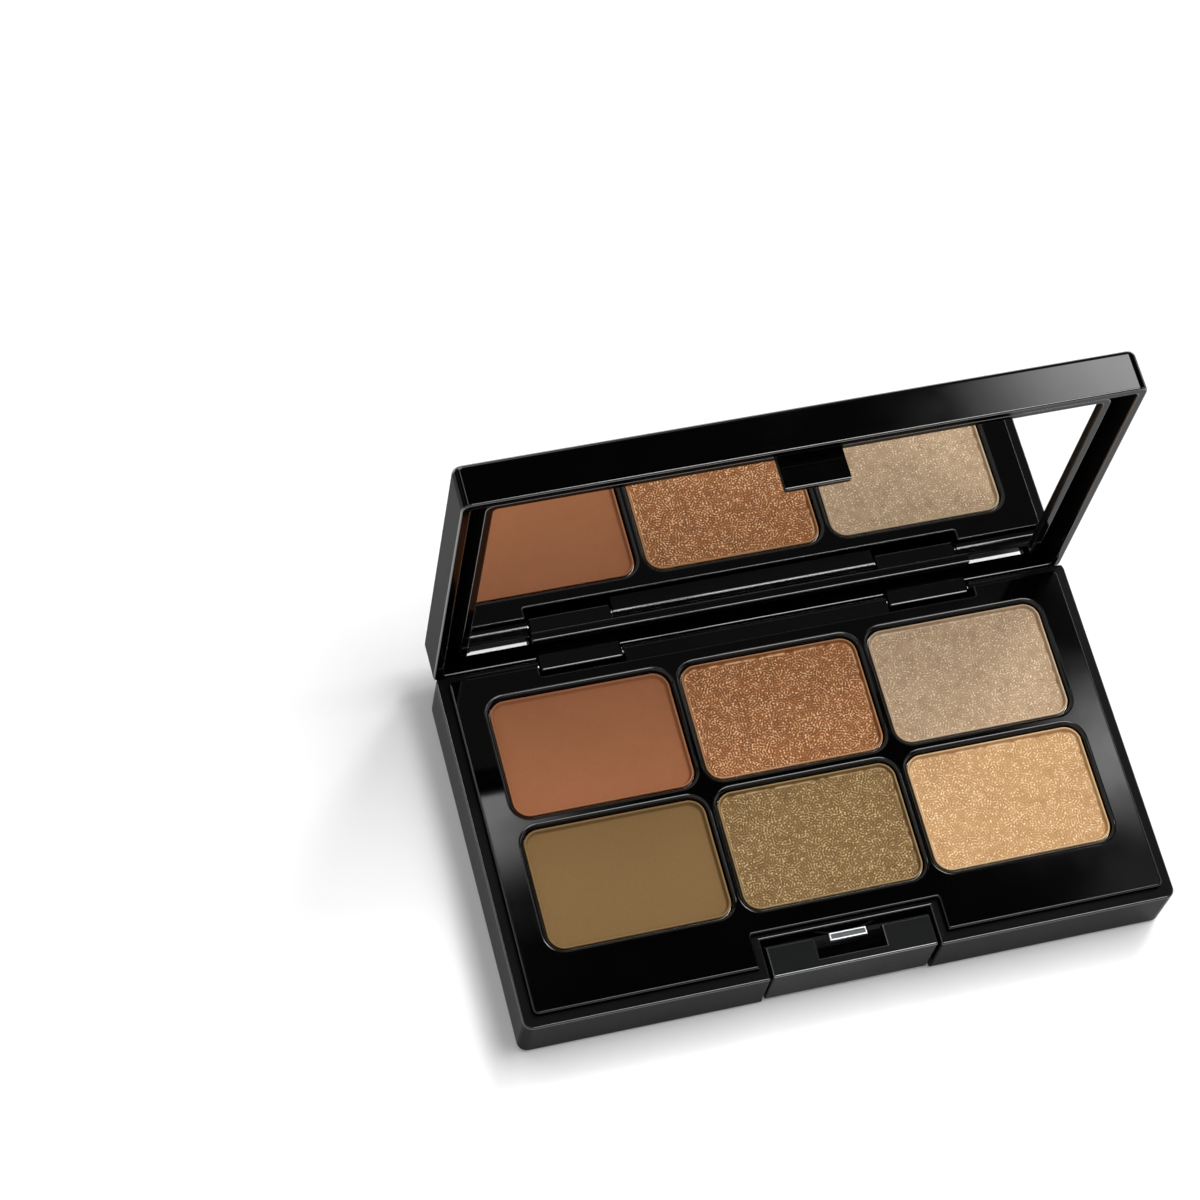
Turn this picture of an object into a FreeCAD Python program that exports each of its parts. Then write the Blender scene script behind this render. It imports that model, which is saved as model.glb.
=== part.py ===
import FreeCAD
import Part
import math
import os

# Hinged eyeshadow palette, shown open. Millimetres, +Z up, front edge towards -Y, hinge along X at the back.
# Origin: middle of the underside.

# Base tray
base_height = 10.4
side_margin = 6.5
corner_radius = 1.5
base_wall = 1.8
base_floor = 1.5
foot_round = 0.8
rim_round = 0.3
ledge_width = 0.9
rib_thickness = 1.2

# Deck with its wells
deck_raise = 1.1
deck_plate = 1.6
deck_fit = 0.05
deck_round = 0.3
deck_corner = 0.9
lip_round = 0.6
rear_land = 1.2
latch_land = 0.5
well_depth = 4.4
well_floor = 1.0
well_wall = 1.2

# Powders and pans
columns = 3
rows = 2
powder_width = 29.4
powder_depth = 20.2
powder_corner = 2.9
bar_across = 1.4
bar_along = 1.7
powder_fit = 0.3
powder_drop = 0.45
powder_round = 0.2
powder_lip = 0.3
powder_press = 1.0
powder_slope = 0.6
pan_drop = 1.25
pan_sheet = 0.35
pan_fit = 0.2
glue_thickness = 0.15
glue_width = 14.0
glue_depth = 8.0
glue_corner = 2.4

# Lid
lid_height = 6.9
lid_gap = 0.15
lid_wall = 1.5
lid_inner_corner = 0.6
lid_top = 1.4
lid_round = 0.9
lid_rim_round = 0.3
open_angle = 90.0

# Mirror and its frame, measured down from the lid's rim
frame_inset = 4.15
frame_bar = 1.3
frame_below_rim = 1.4
frame_corner = 1.6
frame_round = 0.25
mirror_below_rim = 2.2
mirror_thickness = 1.2
mirror_fit = 0.1
mirror_corner = 0.7
tape_thickness = 0.3
tape_inset = 4.0
window_gap = 0.6
window_from_side = 5.4
window_height = 1.2
window_above_mirror = 0.6

# Hinge
hinge_inset = 1.25
hinge_drop = 1.15
pin_radius = 0.6
pin_engagement = 3.0
pin_chamfer = 0.15
pin_running_fit = 0.05
lug_from_side = 16.6
lug_length = 13.4
lug_radius = 1.2
lug_round = 0.4
lug_root = 2.5
lug_side_gap = 0.3
lug_swing_gap = 0.8
rail_depth = 3.5
rail_gap = 0.2
rail_overhang = 4.3
rear_relief = 0.4
rear_relief_height = 2.9
rear_round = 0.75

# Latch
pocket_half_width = 13.65
pocket_depth = 6.5
pocket_cheek = 1.4
pocket_back = 0.75
notch_fit = 0.05
notch_corner = 0.35
button_gap = 0.5
button_recess = 0.25
button_strip = 1.55
button_lift = 1.0
button_round = 0.3
button_travel = 0.8
wing_reach = 5.2
wing_thickness = 1.2
wing_gap_half = 5.4
arm_width = 2.15
arm_height = 6.4
bar_front = 4.8
bar_thickness = 0.7
bar_height = 4.0
slide_gap = 0.2
ear_reach = 1.15
ear_start = 2.6
ear_length = 2.2
ear_rise = 1.0
ear_height = 2.6
catch_half_width = 3.0
catch_front = 4.2
catch_thickness = 0.5
catch_drop = 0.25
catch_round = 0.12
catch_border = 0.3
catch_recess = 0.15
hook_half_width = 5.0
hook_start = 2.8
hook_thickness = 1.2
hook_reach = 4.6
hook_root_gap = 0.35
hook_round = 0.3
barb_half_width = 3.0
barb_depth = 0.6
barb_height = 1.3
spring_half_span = 8.0
spring_thickness = 0.25
spring_height = 2.8
spring_gap = 0.05
spring_pocket_wall = 0.7
spring_rise = 2.6
spring_side_gap = 1.0

# Worked out from the sizes above
spring_back = bar_front + bar_thickness + spring_gap + spring_thickness + spring_rise
spring_wall_back = spring_back + spring_pocket_wall
recess_depth = rail_depth + rail_gap
grid_width = columns * powder_width + (columns - 1) * bar_across
grid_depth = rows * powder_depth + (rows - 1) * bar_along
front_margin = spring_wall_back + latch_land + well_wall
rear_margin = recess_depth + rear_land + well_wall
base_width = grid_width + 2 * side_margin
base_depth = front_margin + grid_depth + rear_margin
front = -base_depth / 2
rear = base_depth / 2
grid_rear = rear - rear_margin
grid_front = front + front_margin
deck_top = base_height + deck_raise
deck_bottom = deck_top - deck_plate
well_bottom = deck_top - well_depth
hinge_y = rear - hinge_inset
hinge_z = base_height - hinge_drop
lid_rim = base_height + lid_gap
lid_crown = lid_rim + lid_height
lid_ceiling = lid_crown - lid_top
mirror_face = lid_rim + mirror_below_rim
mirror_back = mirror_face + mirror_thickness
frame_floor = mirror_back + tape_thickness
bar_top = base_height - catch_drop - catch_thickness
bar_bottom = bar_top - bar_height
arm_bottom = bar_top - arm_height
ear_bottom = arm_bottom + ear_rise
button_half_width = pocket_half_width - button_gap
cheek_outer = pocket_half_width + pocket_cheek
ear_half_width = button_half_width + ear_reach
notch_half_width = cheek_outer + notch_fit
notch_depth = pocket_depth + pocket_back + notch_fit
lug_outer = base_width / 2 - lug_from_side
lug_inner = lug_outer - lug_length
window_inner = lug_outer + window_gap
window_outer = base_width / 2 - window_from_side
lug_pocket_inner = lug_inner - lug_side_gap
lug_pocket_outer = lug_outer + lug_side_gap
lug_pocket_floor = hinge_z - lug_radius - lug_swing_gap
recess_half_width = lug_pocket_outer + rail_gap


def box(x0, x1, y0, y1, z0, z1):
    """Box between two corners."""
    return Part.makeBox(x1 - x0, y1 - y0, z1 - z0, FreeCAD.Vector(x0, y0, z0))


def pair(x0, x1, y0, y1, z0, z1):
    """The same box at the right and, mirrored, at the left."""
    return box(x0, x1, y0, y1, z0, z1).fuse(box(-x1, -x0, y0, y1, z0, z1))


def rounded_wire(x0, x1, y0, y1, z, radius):
    """Level outline with rounded corners."""
    arc = math.sqrt(0.5) * radius
    corners = [(x1, y1, 1, 1), (x0, y1, -1, 1), (x0, y0, -1, -1), (x1, y0, 1, -1)]
    edges = []
    ends = []
    for x, y, sx, sy in corners:
        centre = FreeCAD.Vector(x - sx * radius, y - sy * radius, z)
        middle = centre + FreeCAD.Vector(sx * arc, sy * arc, 0)
        side = centre + FreeCAD.Vector(sx * radius, 0, 0)
        end = centre + FreeCAD.Vector(0, sy * radius, 0)
        first, last = (side, end) if sx * sy > 0 else (end, side)
        edges.append(Part.Arc(first, middle, last).toShape())
        ends.append((first, last))
    for index, (first, last) in enumerate(ends):
        following = ends[(index + 1) % len(ends)][0]
        edges.append(Part.LineSegment(last, following).toShape())
    return Part.Wire(Part.__sortEdges__(edges))


def rounded_plate(x0, x1, y0, y1, z0, z1, radius):
    """Upright plate with rounded corners."""
    wire = rounded_wire(x0, x1, y0, y1, z0, radius)
    return Part.Face(wire).extrude(FreeCAD.Vector(0, 0, z1 - z0))


def inset_plate(inset, z0, z1, radius):
    """Rounded plate that follows the palette's outline at an inset."""
    half = base_width / 2 - inset
    return rounded_plate(-half, half, front + inset, rear - inset, z0, z1, radius)


def level_edges(shape, z):
    """Edges that lie in the level plane at height z."""
    tolerance = 1e-4
    flat = []
    for edge in shape.Edges:
        bound = edge.BoundBox
        if abs(bound.ZMin - z) < tolerance and abs(bound.ZMax - z) < tolerance:
            flat.append(edge)
    return flat


def upright_edges(shape, y):
    """Edges that stand upright at depth y."""
    tolerance = 1e-4
    upright = []
    for edge in shape.Edges:
        bound = edge.BoundBox
        straight = bound.XLength < tolerance and bound.YLength < tolerance
        if straight and abs(bound.YMin - y) < tolerance:
            upright.append(edge)
    return upright


def in_box(edge, half_width, y0, y1):
    """True if an edge lies between two depths and no further from the middle than the half width."""
    slack = 1e-3
    bound = edge.BoundBox
    across = bound.XMin > -half_width - slack and bound.XMax < half_width + slack
    return across and bound.YMin > y0 - slack and bound.YMax < y1 + slack


def well_frame(column, row):
    """Corners of one well: x0, x1, y0, y1. Column 0 is at the left, row 0 at the back."""
    x0 = -grid_width / 2 + column * (powder_width + bar_across)
    y1 = grid_rear - row * (powder_depth + bar_along)
    return x0, x0 + powder_width, y1 - powder_depth, y1


def well_wire(column, row, inset, z):
    """Level outline that follows one well at an inset."""
    x0, x1, y0, y1 = well_frame(column, row)
    return rounded_wire(x0 + inset, x1 - inset, y0 + inset, y1 - inset, z, powder_corner - inset)


def well_plate(column, row, inset, z0, z1):
    """Rounded plate that follows one well at an inset."""
    return Part.Face(well_wire(column, row, inset, z0)).extrude(FreeCAD.Vector(0, 0, z1 - z0))


def hinge_rod(x0, x1, radius):
    """Cylinder on the hinge axis."""
    start = FreeCAD.Vector(x0, hinge_y, hinge_z)
    return Part.makeCylinder(radius, x1 - x0, start, FreeCAD.Vector(1, 0, 0))


def side_profile(points, half_width):
    """Solid with a profile given as distance from the front face and height, centred on X."""
    corners = [FreeCAD.Vector(-half_width, front + u, z) for u, z in points]
    wire = Part.makePolygon(corners + corners[:1])
    return Part.Face(wire).extrude(FreeCAD.Vector(2 * half_width, 0, 0))


def opened(shape):
    """Lid piece turned from its closed place to the open one."""
    turned = shape.copy()
    turned.rotate(FreeCAD.Vector(0, hinge_y, hinge_z), FreeCAD.Vector(1, 0, 0), -open_angle)
    return turned


def make_base_shell():
    """Tray with the deck's ledge, the latch pocket, ribs and the hinge knuckles."""
    body = inset_plate(0, 0, base_height, corner_radius)
    body = body.makeFillet(foot_round, level_edges(body, 0))
    body = body.makeFillet(rim_round, level_edges(body, base_height))
    ledge_inset = base_wall + ledge_width
    body = body.cut(inset_plate(base_wall, deck_bottom, base_height + 1, deck_corner))
    body = body.cut(inset_plate(ledge_inset, base_floor, base_height + 1, deck_corner))

    # Latch pocket: two cheeks and a back wall, thicker below the deck to house the spring
    pocket_back_outer = pocket_depth + pocket_back
    lining = rounded_plate(-cheek_outer, cheek_outer, front + base_wall / 2, front + pocket_back_outer,
                           base_floor / 2, base_height, notch_corner)
    housing = box(-cheek_outer, cheek_outer, front + pocket_depth, front + spring_wall_back, base_floor / 2,
                  deck_bottom)
    body = body.fuse(lining).fuse(housing)
    body = body.cut(box(-pocket_half_width, pocket_half_width, front - 1, front + pocket_depth, base_floor,
                        base_height + 1)).removeSplitter()
    pocket_rim = [edge for edge in level_edges(body, base_height)
                  if in_box(edge, pocket_half_width, front, front + pocket_depth)]
    body = body.makeFillet(rim_round, pocket_rim)
    sill = button_recess + button_strip + button_travel + 2 * slide_gap
    body = body.cut(box(-pocket_half_width, pocket_half_width, front - 1, front + sill, -1, base_floor + 1))
    spring_room = spring_half_span + spring_side_gap
    spring_low = (bar_bottom + bar_top - spring_height) / 2 - slide_gap
    spring_high = (bar_bottom + bar_top + spring_height) / 2 + slide_gap
    body = body.cut(box(-spring_room, spring_room, front + pocket_depth - 1, front + spring_back, spring_low,
                        spring_high))
    ear_slot_outer = ear_half_width + slide_gap
    body = body.cut(pair(pocket_half_width - 1, ear_slot_outer, front + ear_start - slide_gap,
                         front + ear_start + ear_length + button_travel + slide_gap, ear_bottom - slide_gap,
                         ear_bottom + ear_height + slide_gap))

    # Ribs that carry the wells
    rib_bottom = base_floor / 2
    rib_top = well_bottom - well_floor
    for column in range(1, columns):
        x = well_frame(column, 0)[0] - bar_across / 2
        body = body.fuse(box(x - rib_thickness / 2, x + rib_thickness / 2, grid_front, grid_rear,
                             rib_bottom, rib_top))

    # Hinge rail with its knuckles, and the two pockets in which the lid's lugs swing
    rail_half = lug_pocket_outer + rail_overhang
    body = body.fuse(box(-rail_half, rail_half, rear - rail_depth, rear - base_wall / 2, base_floor / 2,
                         deck_bottom))
    body = body.fuse(box(-lug_pocket_inner, lug_pocket_inner, rear - rail_depth, rear - base_wall / 2,
                         base_floor / 2, base_height))
    body = body.cut(box(-base_width, base_width, rear - rear_relief, rear + 1,
                        base_height - rear_relief_height, base_height + 1))
    crest = box(-base_width, base_width, rear - rear_relief - rear_round, rear, base_height - rear_round,
                base_height + 1)
    crest_rod = Part.makeCylinder(rear_round, 2 * base_width,
                                  FreeCAD.Vector(-base_width, rear - rear_relief - rear_round,
                                                 base_height - rear_round), FreeCAD.Vector(1, 0, 0))
    body = body.cut(crest.cut(crest_rod))
    body = body.cut(pair(lug_pocket_inner, lug_pocket_outer, rear - rail_depth - 1, rear + 1,
                         lug_pocket_floor, base_height + 1))
    for x0 in (lug_pocket_inner - pin_engagement, -lug_pocket_outer - pin_engagement):
        length = lug_pocket_outer - lug_pocket_inner + 2 * pin_engagement
        body = body.cut(hinge_rod(x0, x0 + length, pin_radius))
    return body.removeSplitter()


def make_base_deck():
    """Raised deck with six wells, the latch notch at the front and the hinge recess at the back."""
    inset = base_wall + deck_fit
    deck = inset_plate(inset, deck_bottom, deck_top, deck_corner - deck_fit)
    block_half = grid_width / 2 + well_wall
    deck = deck.fuse(box(-block_half, block_half, grid_front - well_wall, grid_rear + well_wall,
                         well_bottom - well_floor, deck_bottom))
    deck = deck.cut(rounded_plate(-notch_half_width, notch_half_width, front - notch_depth,
                                  front + notch_depth, deck_bottom - 1, deck_top + 1, notch_corner))
    deck = deck.cut(rounded_plate(-recess_half_width, recess_half_width, rear - recess_depth,
                                  rear + recess_depth, deck_bottom - 1, deck_top + 1, notch_corner))
    for column in range(columns):
        for row in range(rows):
            deck = deck.cut(well_plate(column, row, 0, well_bottom, deck_top + 1))
    deck = deck.removeSplitter()
    lips = [edge for edge in level_edges(deck, deck_top)
            if in_box(edge, grid_width / 2, grid_front, grid_rear)]
    deck = deck.makeFillet(lip_round, lips)
    outline = [edge for edge in level_edges(deck, deck_top)
               if not in_box(edge, grid_width / 2 + lip_round, grid_front - lip_round,
                             grid_rear + lip_round)]
    return deck.makeFillet(deck_round, outline)


def make_pan(column, row):
    """Pressed metal pan, standing on its glue pad."""
    low = well_bottom + glue_thickness
    pan = well_plate(column, row, pan_fit, low, deck_top - pan_drop)
    pan = pan.makeFillet(pan_sheet, level_edges(pan, low))
    return pan.cut(well_plate(column, row, pan_fit + pan_sheet, low + pan_sheet, deck_top))


def make_powder(column, row):
    """Pressed cake: fills its pan, laps over the pan's rim, and is hollowed inside a lip."""
    low = well_bottom + glue_thickness + pan_sheet
    rim = deck_top - pan_drop
    top = deck_top - powder_drop
    core = well_plate(column, row, pan_fit + pan_sheet, low, rim)
    cap = well_plate(column, row, powder_fit, rim, top)
    cap = cap.makeFillet(powder_round, level_edges(cap, top))
    lip = powder_fit + powder_lip
    hollow = Part.makeLoft([well_wire(column, row, lip + powder_slope, top - powder_press),
                            well_wire(column, row, lip, top)], True, True)
    return core.fuse(cap).cut(hollow).removeSplitter()


def make_pan_glue():
    """One glue pad under each pan."""
    pads = []
    for column in range(columns):
        for row in range(rows):
            x0, x1, y0, y1 = well_frame(column, row)
            x = (x0 + x1) / 2
            y = (y0 + y1) / 2
            pads.append(rounded_plate(x - glue_width / 2, x + glue_width / 2, y - glue_depth / 2,
                                      y + glue_depth / 2, well_bottom, well_bottom + glue_thickness,
                                      glue_corner))
    return Part.makeCompound(pads)


def make_latch_button():
    """Push button: front strip, two wings, side arms with ears, and the bar that carries the catch."""
    half = button_half_width
    strip_front = front + button_recess
    strip_back = strip_front + button_strip
    bar_back = front + bar_front + bar_thickness
    wing_bottom = base_height - wing_thickness
    strip = box(-half, half, strip_front, strip_back, button_lift, base_height)
    wings = pair(wing_gap_half, half, strip_front, front + wing_reach, wing_bottom, base_height)
    button = strip.fuse(wings).removeSplitter()
    button = button.makeFillet(button_round, level_edges(button, base_height)
                               + upright_edges(button, strip_front))
    button = button.fuse(pair(half - arm_width, half, strip_back - button_round, bar_back, arm_bottom,
                              bar_top))
    button = button.fuse(box(-half, half, front + bar_front, bar_back, bar_bottom, bar_top))
    button = button.fuse(pair(half, ear_half_width, front + ear_start, front + ear_start + ear_length,
                              ear_bottom, ear_bottom + ear_height))
    return button.removeSplitter()


def make_catch_plate():
    """Steel plate on the button's bar, with its front edge standing over the hook's barb."""
    top = bar_top + catch_thickness
    plate = box(-catch_half_width, catch_half_width, front + catch_front, front + bar_front + bar_thickness,
                bar_top, top)
    plate = plate.makeFillet(catch_round, level_edges(plate, top))
    middle = catch_half_width - catch_border
    return plate.cut(box(-middle, middle, front + catch_front + catch_border,
                         front + bar_front + bar_thickness - catch_border, top - catch_recess, top + 1))


def make_button_spring():
    """Bowed leaf spring between the button's bar and the back of the latch pocket."""
    middle = (bar_bottom + bar_top) / 2
    low = middle - spring_height / 2
    crown = front + bar_front + bar_thickness + spring_gap
    foot = front + spring_back - spring_gap

    def bow(offset):
        start = FreeCAD.Vector(-spring_half_span, foot - spring_thickness + offset, low)
        top = FreeCAD.Vector(0, crown + offset, low)
        end = FreeCAD.Vector(spring_half_span, foot - spring_thickness + offset, low)
        return Part.Arc(start, top, end).toShape()

    inner = bow(0)
    outer = bow(spring_thickness)
    ends = [Part.LineSegment(inner.Vertexes[side].Point, outer.Vertexes[side].Point).toShape()
            for side in (0, 1)]
    wire = Part.Wire(Part.__sortEdges__([inner, outer] + ends))
    return Part.Face(wire).extrude(FreeCAD.Vector(0, 0, spring_height))


def make_lid_shell():
    """Lid in its closed place: shell, hook for the latch, hinge lugs and two snap windows."""
    lid = inset_plate(0, lid_rim, lid_crown, corner_radius)
    lid = lid.makeFillet(lid_round, level_edges(lid, lid_crown))
    lid = lid.cut(inset_plate(lid_wall, lid_rim - 1, lid_ceiling, lid_inner_corner))
    lid = lid.makeFillet(lid_rim_round, level_edges(lid, lid_rim))

    # Hook: a tab on a root block behind the front wall, with a barb on its back face
    hook_back = hook_start + hook_thickness
    hook_end = base_height - hook_reach
    tab = box(-hook_half_width, hook_half_width, front + hook_start, front + hook_back, hook_end,
              lid_ceiling + lid_top / 2)
    tab = tab.makeFillet(hook_round, level_edges(tab, hook_end))
    root = box(-hook_half_width, hook_half_width, front + lid_wall / 2, front + hook_back,
               lid_rim + hook_root_gap, lid_ceiling + lid_top / 2)
    barb_top = bar_top - slide_gap
    barb = side_profile([(hook_back - slide_gap, barb_top), (hook_back + barb_depth, barb_top),
                         (hook_back, barb_top - barb_height),
                         (hook_back - slide_gap, barb_top - barb_height)], barb_half_width)
    lid = lid.fuse(tab).fuse(root).fuse(barb)

    # Hinge lugs round the pins
    lug_top = lid_rim + lug_root
    for x0 in (lug_inner, -lug_outer):
        x1 = x0 + lug_outer - lug_inner
        lug = box(x0, x1, hinge_y - lug_radius, hinge_y + lug_radius, hinge_z - lug_radius, lug_top)
        lid = lid.fuse(lug.makeFillet(lug_round, level_edges(lug, hinge_z - lug_radius)
                                      + upright_edges(lug, hinge_y - lug_radius)))
    lid = lid.removeSplitter()
    for x0 in (lug_inner - 1, -lug_outer - 1):
        lid = lid.cut(hinge_rod(x0, x0 + lug_outer - lug_inner + 2, pin_radius + pin_running_fit))
    window_low = mirror_face + window_above_mirror
    return lid.cut(pair(window_inner, window_outer, rear - lid_wall - 1, rear + 1, window_low,
                        window_low + window_height))


def make_mirror_frame():
    """Raised bezel with a back plate, open at the two snap windows."""
    front_face = lid_rim + frame_below_rim
    inner_inset = frame_inset + frame_bar
    frame = inset_plate(frame_inset, front_face, lid_ceiling, frame_corner)
    frame = frame.cut(inset_plate(inner_inset, front_face - 1, frame_floor, mirror_corner + mirror_fit))
    frame = frame.makeFillet(frame_round, level_edges(frame, front_face))
    return frame.cut(pair(window_inner, window_outer, rear - inner_inset - mirror_fit / 2, rear,
                          front_face - 1, frame_floor))


def make_mirror_glass():
    """Mirror, face towards the powders when closed."""
    return inset_plate(frame_inset + frame_bar + mirror_fit, mirror_face, mirror_back, mirror_corner)


def make_mirror_tape():
    """Foam tape between the mirror and its frame."""
    inset = frame_inset + frame_bar + tape_inset
    return inset_plate(inset, mirror_back, frame_floor, mirror_corner)


def make_hinge_pin(side):
    """Steel pin pressed into the base's knuckles on both sides of one lug."""
    inner = lug_pocket_inner - pin_engagement
    outer = lug_pocket_outer + pin_engagement
    pin = hinge_rod(inner, outer, pin_radius) if side > 0 else hinge_rod(-outer, -inner, pin_radius)
    rings = [edge for edge in pin.Edges if isinstance(edge.Curve, Part.Circle)]
    return pin.makeChamfer(pin_chamfer, rings)


column_names = ["left", "middle", "right"]
row_names = ["rear", "front"]
nodes = {
    "base_shell": make_base_shell(),
    "base_deck": make_base_deck(),
    "pan_glue": make_pan_glue(),
    "latch_button": make_latch_button(),
    "catch_plate": make_catch_plate(),
    "button_spring": make_button_spring(),
    "lid_shell": opened(make_lid_shell()),
    "mirror_frame": opened(make_mirror_frame()),
    "mirror_glass": opened(make_mirror_glass()),
    "mirror_tape": opened(make_mirror_tape()),
    "hinge_pin_left": make_hinge_pin(-1),
    "hinge_pin_right": make_hinge_pin(1),
}
for column in range(columns):
    for row in range(rows):
        place = row_names[row] + "_" + column_names[column]
        nodes["pan_" + place] = make_pan(column, row)
        nodes["powder_" + place] = make_powder(column, row)

os.makedirs("parts", exist_ok=True)
for name, shape in nodes.items():
    print(name, shape.isValid(), len(shape.Solids), round(shape.Volume, 1))
    shape.exportStep("parts/" + name + ".step")
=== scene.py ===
import math

import bpy
import numpy as np
from bpy.props import FloatProperty, FloatVectorProperty, IntProperty, PointerProperty
from mathutils import Matrix, Vector


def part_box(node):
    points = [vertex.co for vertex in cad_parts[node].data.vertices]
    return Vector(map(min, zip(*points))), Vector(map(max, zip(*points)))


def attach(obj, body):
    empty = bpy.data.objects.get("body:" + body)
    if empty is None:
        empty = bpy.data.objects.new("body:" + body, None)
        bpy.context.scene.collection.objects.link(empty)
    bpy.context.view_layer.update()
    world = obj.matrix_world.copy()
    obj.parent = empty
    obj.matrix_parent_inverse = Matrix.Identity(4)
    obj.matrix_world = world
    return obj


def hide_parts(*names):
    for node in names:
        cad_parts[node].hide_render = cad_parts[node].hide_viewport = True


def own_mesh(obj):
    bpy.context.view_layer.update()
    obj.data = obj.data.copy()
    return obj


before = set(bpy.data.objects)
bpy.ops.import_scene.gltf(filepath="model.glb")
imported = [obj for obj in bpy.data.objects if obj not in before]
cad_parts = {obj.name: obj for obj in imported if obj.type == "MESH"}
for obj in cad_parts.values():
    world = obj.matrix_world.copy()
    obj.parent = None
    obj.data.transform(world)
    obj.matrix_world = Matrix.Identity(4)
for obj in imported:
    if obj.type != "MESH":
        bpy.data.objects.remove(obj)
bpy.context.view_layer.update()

bl_info = {
    "name": "Eyeshadow palette",
    "version": (1, 0, 0),
    "blender": (4, 5, 0),
    "location": "View3D > Sidebar > Palette",
    "description": "Dresses an open eyeshadow palette: case, metal, mirror, pressed powders and stage",
    "category": "Object",
}

MM = 0.001
CAKES = ("rear_left", "rear_middle", "rear_right", "front_left", "front_middle", "front_right")


def srgb(red, green, blue):
    """Linear colour of an eight-bit screen colour."""
    shares = [channel / 255 for channel in (red, green, blue)]
    return tuple(s / 12.92 if s <= 0.04045 else ((s + 0.055) / 1.055) ** 2.4 for s in shares)


def opaque(colour):
    """Colour with full alpha, as a colour socket takes it."""
    return (*colour, 1.0)


def add(tree, kind, inputs=None, **settings):
    """Adds a node, sets its properties, and links or sets its inputs."""
    node = tree.nodes.new(kind)
    for key, value in settings.items():
        setattr(node, key, value)
    for key, value in (inputs or {}).items():
        if isinstance(value, bpy.types.NodeSocket):
            tree.links.new(value, node.inputs[key])
        else:
            node.inputs[key].default_value = value
    return node


def math_node(tree, operation, first, second=0.5, clamp=False):
    """Result of a math node."""
    node = add(tree, "ShaderNodeMath", {0: first, 1: second}, operation=operation, use_clamp=clamp)
    return node.outputs[0]


def ramp(tree, value, low, high, start=0.0, end=1.0):
    """Value carried smoothly from the range low to high to the range start to end."""
    inputs = {"Value": value, "From Min": low, "From Max": high, "To Min": start, "To Max": end}
    return add(tree, "ShaderNodeMapRange", inputs, interpolation_type="SMOOTHSTEP").outputs["Result"]


def noise_at(tree, place, scale, detail):
    """Smooth noise at a place."""
    return add(tree, "ShaderNodeTexNoise", {"Vector": place, "Scale": scale, "Detail": detail}).outputs["Fac"]


def dot(tree, first, second):
    """Dot product of two vectors."""
    node = add(tree, "ShaderNodeVectorMath", {0: first, 1: second}, operation="DOT_PRODUCT")
    return node.outputs["Value"]


def bumped(tree, height, strength, distance):
    """Normal of a surface with a relief."""
    node = add(tree, "ShaderNodeBump", {"Height": height, "Strength": strength, "Distance": distance})
    return node.outputs["Normal"]


def mix_colour(tree, factor, first, second, blend="MIX"):
    """Mixed colour."""
    node = add(tree, "ShaderNodeMix", data_type="RGBA", blend_type=blend)
    for index, value in ((0, factor), (6, first), (7, second)):
        if isinstance(value, bpy.types.NodeSocket):
            tree.links.new(value, node.inputs[index])
        else:
            node.inputs[index].default_value = value
    return node.outputs[2]


def make_group(name, inputs, outputs):
    """Empty shader node group with its sockets, and its two end nodes."""
    group = bpy.data.node_groups.new(name, "ShaderNodeTree")
    for label, kind, default in inputs:
        socket = group.interface.new_socket(label, in_out="INPUT", socket_type=kind)
        if default is not None:
            socket.default_value = default
    for label, kind in outputs:
        group.interface.new_socket(label, in_out="OUTPUT", socket_type=kind)
    return group, add(group, "NodeGroupInput"), add(group, "NodeGroupOutput")


def moulded_group():
    """Moulded surface: roughness that drifts with handling, a fine grain, and a mask of rounded edges."""
    name = "Moulded surface"
    if name in bpy.data.node_groups:
        return bpy.data.node_groups[name]
    floats = "NodeSocketFloat"
    group, enter, leave = make_group(
        name,
        (("Vector", "NodeSocketVector", None), ("Clean", floats, 0.15), ("Handled", floats, 0.25),
         ("Drift", floats, 90.0), ("Grain", floats, 5000.0), ("Depth", floats, 0.2),
         ("Facing", "NodeSocketVector", None), ("Up", "NodeSocketVector", (0.0, 0.0, 1.0)),
         ("Across", "NodeSocketVector", (1.0, 0.0, 0.0)), ("Side", floats, 0.5)),
        (("Roughness", floats), ("Normal", "NodeSocketVector"), ("Edge", floats)))
    place, facing = enter.outputs["Vector"], enter.outputs["Facing"]
    drift = noise_at(group, place, enter.outputs["Drift"], 5.0)
    grain = noise_at(group, place, enter.outputs["Grain"], 2.0)
    rough = ramp(group, drift, 0.35, 0.7, enter.outputs["Clean"], enter.outputs["Handled"])
    across = dot(group, facing, enter.outputs["Across"])
    side = ramp(group, math_node(group, "ABSOLUTE", across), 0.8, 0.98)
    sided = add(group, "ShaderNodeMix", {0: side, 2: rough, 3: enter.outputs["Side"]}, data_type="FLOAT")
    upward = dot(group, facing, enter.outputs["Up"])
    square = math_node(group, "MULTIPLY", upward, upward)
    slant = math_node(group, "MULTIPLY", square, math_node(group, "SUBTRACT", 1.0, square))
    group.links.new(sided.outputs[0], leave.inputs["Roughness"])
    group.links.new(bumped(group, grain, enter.outputs["Depth"], 0.02 * MM), leave.inputs["Normal"])
    group.links.new(ramp(group, slant, 0.004, 0.03), leave.inputs["Edge"])
    return group


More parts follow.
